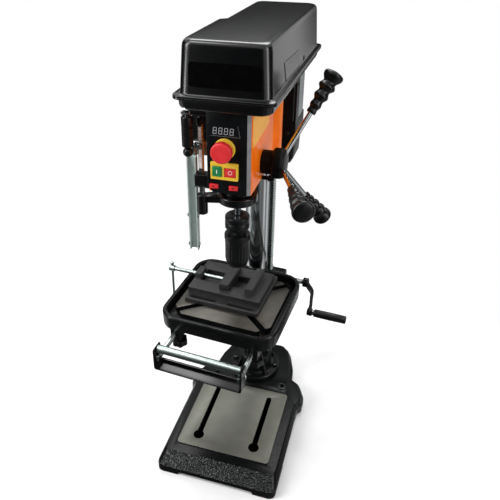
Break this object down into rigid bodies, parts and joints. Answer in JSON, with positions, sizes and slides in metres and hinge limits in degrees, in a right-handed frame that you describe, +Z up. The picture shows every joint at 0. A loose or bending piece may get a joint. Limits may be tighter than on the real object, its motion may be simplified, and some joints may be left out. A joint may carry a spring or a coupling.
{
  "type": "drill press",
  "caption": "Bench drill press with a rack-lifted tilting table, roller extension, vise, lever-fed quill, keyed control panel and hinged belt cover on a round column.",
  "frame": {"origin": "middle of the bounding box, at the lowest point, where the base stands on the bench", "axes": "+X to the operator's right, -Y towards the operator, +Z up along the column"},
  "size_m": [0.4122, 0.5776, 0.949],
  "materials": {
    "base_paint": "semi-gloss black hammered enamel, machined plate bare",
    "black_casting": "black enamel on cast iron",
    "chrome": "polished",
    "zinc": "zinc plated",
    "cast_iron": "dark, part machined",
    "orange_paint": "gloss orange enamel",
    "black_plastic": "gloss black",
    "grip_plastic": "ribbed, satin black",
    "panel_plastic": "satin black with a grey edge",
    "window": "smoked, with lit figures",
    "red_plastic": "gloss red",
    "green_plastic": "satin green",
    "yellow_plastic": "satin yellow",
    "motor_paint": "grey enamel",
    "rail_metal": "grey enamel",
    "machined_steel": "ground",
    "belt_rubber": "matte",
    "cast_pulley": "machined"
  },
  "bodies": {
    "frame": {"base_casting": "base_paint", "column_flange": "black_casting", "column": "chrome", "rack_collar": "black_casting", "head_casting": "orange_paint", "control_panel": "panel_plastic", "display_window": "window", "switch_frame": "yellow_plastic", "belt_tray": "black_plastic", "motor_body": "motor_paint", "motor_cover": "black_plastic", "rod_guide": "black_casting", "guard_bracket": "zinc", "spring_case": "black_plastic", "drive_belt": "belt_rubber"},
    "cover": {"belt_cover": "black_plastic"},
    "spindle_pulley_body": {"spindle_pulley": "cast_pulley"},
    "motor_pulley_body": {"motor_pulley": "cast_pulley"},
    "quill_body": {"quill": "machined_steel", "depth_collar": "black_casting", "depth_rod": "zinc"},
    "depth_stop_body": {"depth_stop": "zinc"},
    "spindle_body": {"spindle": "chrome", "chuck_body": "machined_steel"},
    "chuck_sleeve_body": {"chuck_sleeve": "grip_plastic"},
    "feed_body": {"feed_shaft": "machined_steel", "feed_hub": "black_plastic", "feed_rod_1": "chrome", "feed_rod_2": "chrome", "feed_rod_3": "chrome", "feed_grip_1": "grip_plastic", "feed_grip_2": "grip_plastic", "feed_grip_3": "grip_plastic"},
    "speed_lever_body": {"speed_lever": "chrome", "speed_grip": "grip_plastic"},
    "estop_body": {"estop_button": "red_plastic"},
    "start_body": {"start_button": "green_plastic"},
    "stop_body": {"stop_button": "red_plastic"},
    "light_rocker_body": {"light_rocker": "red_plastic"},
    "laser_rocker_body": {"laser_rocker": "red_plastic"},
    "guard_body": {"guard_rail": "rail_metal"},
    "rack_body": {"rack": "zinc"},
    "bracket_body": {"table_bracket": "cast_iron", "tilt_bolt": "zinc"},
    "gear_body": {"elevating_gear": "zinc"},
    "crank_body": {"crank_shaft": "zinc", "crank_arm": "black_casting"},
    "crank_grip_body": {"crank_grip": "grip_plastic"},
    "clamp_body": {"clamp_lever": "zinc"},
    "table_body": {"work_table": "cast_iron", "vise_base": "cast_iron"},
    "jaw_body": {"vise_jaw": "cast_iron"},
    "screw_body": {"vise_screw": "zinc"},
    "tommy_body": {"vise_handle": "zinc"},
    "extension_body": {"extension_arm_left": "zinc", "extension_arm_right": "zinc", "roller_bracket": "black_casting"},
    "roller_body": {"support_roller": "zinc"},
    "knob_left_body": {"knob_left": "black_plastic"},
    "knob_right_body": {"knob_right": "black_plastic"}
  },
  "joints": [
    {"name": "table_swing", "type": "hinge", "parent": "frame", "child": "rack_body", "pos_m": [-0.02777, 0.08377, 0.326], "axis": [0, 0, 1], "range_deg": [-180, 180]},
    {"name": "table_lift", "type": "slide", "parent": "rack_body", "child": "bracket_body", "axis": [0, 0, -1], "range_m": [-0.05027, 0.16965]},
    {"name": "crank_turn", "type": "hinge", "parent": "bracket_body", "child": "crank_body", "pos_m": [0.09189, 0.07477, 0.342], "axis": [0.9972, -0.075, 0], "range_deg": [-2880, 9720]},
    {"name": "elevating_gear_turn", "type": "hinge", "parent": "bracket_body", "child": "gear_body", "pos_m": [0.02169, 0.08005, 0.3206], "axis": [0.075, 0.9972, 0], "range_deg": [-240, 810]},
    {"name": "crank_grip_spin", "type": "hinge", "parent": "crank_body", "child": "crank_grip_body", "pos_m": [0.16364, -0.03793, 0.342], "axis": [0.9972, -0.075, 0], "continuous": true},
    {"name": "table_clamp_turn", "type": "hinge", "parent": "bracket_body", "child": "clamp_body", "pos_m": [-0.08311, 0.08793, 0.312], "axis": [0.9972, -0.075, 0], "range_deg": [-60, 60]},
    {"name": "table_tilt", "type": "hinge", "parent": "bracket_body", "child": "table_body", "pos_m": [-0.03272, 0.01795, 0.319], "axis": [0.075, 0.9972, 0], "range_deg": [-45, 45]},
    {"name": "extension_slide", "type": "slide", "parent": "table_body", "child": "extension_body", "axis": [-0.075, -0.9972, 0], "range_m": [-0.05, 0.06]},
    {"name": "roller_spin", "type": "hinge", "parent": "extension_body", "child": "roller_body", "pos_m": [-0.05424, -0.26824, 0.36], "axis": [0.9972, -0.075, 0], "continuous": true},
    {"name": "knob_left_turn", "type": "hinge", "parent": "table_body", "child": "knob_left_body", "pos_m": [-0.13407, -0.17098, 0.315], "axis": [0, 0, 1], "range_deg": [-180, 180]},
    {"name": "knob_right_turn", "type": "hinge", "parent": "table_body", "child": "knob_right_body", "pos_m": [0.03924, -0.18401, 0.315], "axis": [0, 0, 1], "range_deg": [-180, 180]},
    {"name": "vise_jaw_slide", "type": "slide", "parent": "table_body", "child": "jaw_body", "axis": [0.9972, -0.075, 0], "range_m": [-0.045, 0.027]},
    {"name": "vise_screw_turn", "type": "hinge", "parent": "jaw_body", "child": "screw_body", "pos_m": [-0.066, -0.05125, 0.402], "axis": [0.9972, -0.075, 0], "range_deg": [-5400, 3240]},
    {"name": "vise_handle_slide", "type": "slide", "parent": "screw_body", "child": "tommy_body", "axis": [0, 0, 1], "range_m": [0, 0.063]},
    {"name": "feed_turn", "type": "hinge", "parent": "frame", "child": "feed_body", "pos_m": [0.04223, -0.05973, 0.7023], "axis": [1, 0, 0], "range_deg": [0, 212.21], "stiffness_Nm_per_rad": 0.4, "springref_deg": -137.51},
    {"name": "quill_feed", "type": "slide", "parent": "frame", "child": "quill_body", "axis": [0, 0, -1], "range_m": [0, 0.05]},
    {"name": "depth_stop_slide", "type": "slide", "parent": "quill_body", "child": "depth_stop_body", "axis": [0, 0, 1], "range_m": [-0.05, 0.015]},
    {"name": "spindle_spin", "type": "hinge", "parent": "quill_body", "child": "spindle_body", "pos_m": [-0.02777, -0.09173, 0.7], "axis": [0, 0, 1], "continuous": true},
    {"name": "spindle_pulley_spin", "type": "hinge", "parent": "frame", "child": "spindle_pulley_body", "pos_m": [-0.02777, -0.09173, 0.886], "axis": [0, 0, 1], "continuous": true},
    {"name": "motor_pulley_spin", "type": "hinge", "parent": "frame", "child": "motor_pulley_body", "pos_m": [-0.02777, 0.19377, 0.886], "axis": [0, 0, 1], "continuous": true},
    {"name": "chuck_sleeve_turn", "type": "hinge", "parent": "spindle_body", "child": "chuck_sleeve_body", "pos_m": [-0.02777, -0.09173, 0.52], "axis": [0, 0, 1], "range_deg": [-1080, 0]},
    {"name": "belt_cover_hinge", "type": "hinge", "parent": "frame", "child": "cover", "pos_m": [-0.12277, 0.08377, 0.8557], "axis": [0, -1, 0], "range_deg": [0, 95]},
    {"name": "speed_lever_turn", "type": "hinge", "parent": "frame", "child": "speed_lever_body", "pos_m": [-0.11127, -0.13423, 0.815], "axis": [-1, 0, 0], "range_deg": [0, 75]},
    {"name": "estop_press", "type": "slide", "parent": "frame", "child": "estop_body", "axis": [0, 1, 0], "range_m": [0, 0.005]},
    {"name": "start_press", "type": "slide", "parent": "frame", "child": "start_body", "axis": [0, 1, 0], "range_m": [0, 0.0025], "stiffness_N_per_m": 400},
    {"name": "stop_press", "type": "slide", "parent": "frame", "child": "stop_body", "axis": [0, 1, 0], "range_m": [0, 0.0025], "stiffness_N_per_m": 400},
    {"name": "light_rocker_tilt", "type": "hinge", "parent": "frame", "child": "light_rocker_body", "pos_m": [-0.05657, -0.14873, 0.681], "axis": [0, 0, 1], "range_deg": [-12, 0]},
    {"name": "laser_rocker_tilt", "type": "hinge", "parent": "frame", "child": "laser_rocker_body", "pos_m": [-0.01877, -0.14873, 0.681], "axis": [0, 0, 1], "range_deg": [-12, 0]},
    {"name": "guard_swing", "type": "hinge", "parent": "frame", "child": "guard_body", "pos_m": [-0.11427, -0.09723, 0.7345], "axis": [0, 0, 1], "range_deg": [-90, 0]}
  ],
  "couplings": [
    {"joint": "table_lift", "follows": "crank_turn", "m_per_rad": 0.001},
    {"joint": "elevating_gear_turn", "follows": "crank_turn", "ratio": 0.083333},
    {"joint": "vise_jaw_slide", "follows": "vise_screw_turn", "m_per_rad": 0.00047746},
    {"joint": "quill_feed", "follows": "feed_turn", "m_per_rad": 0.0135},
    {"joint": "spindle_pulley_spin", "follows": "spindle_spin", "ratio": 1},
    {"joint": "motor_pulley_spin", "follows": "spindle_spin", "ratio": 1.5}
  ]
}
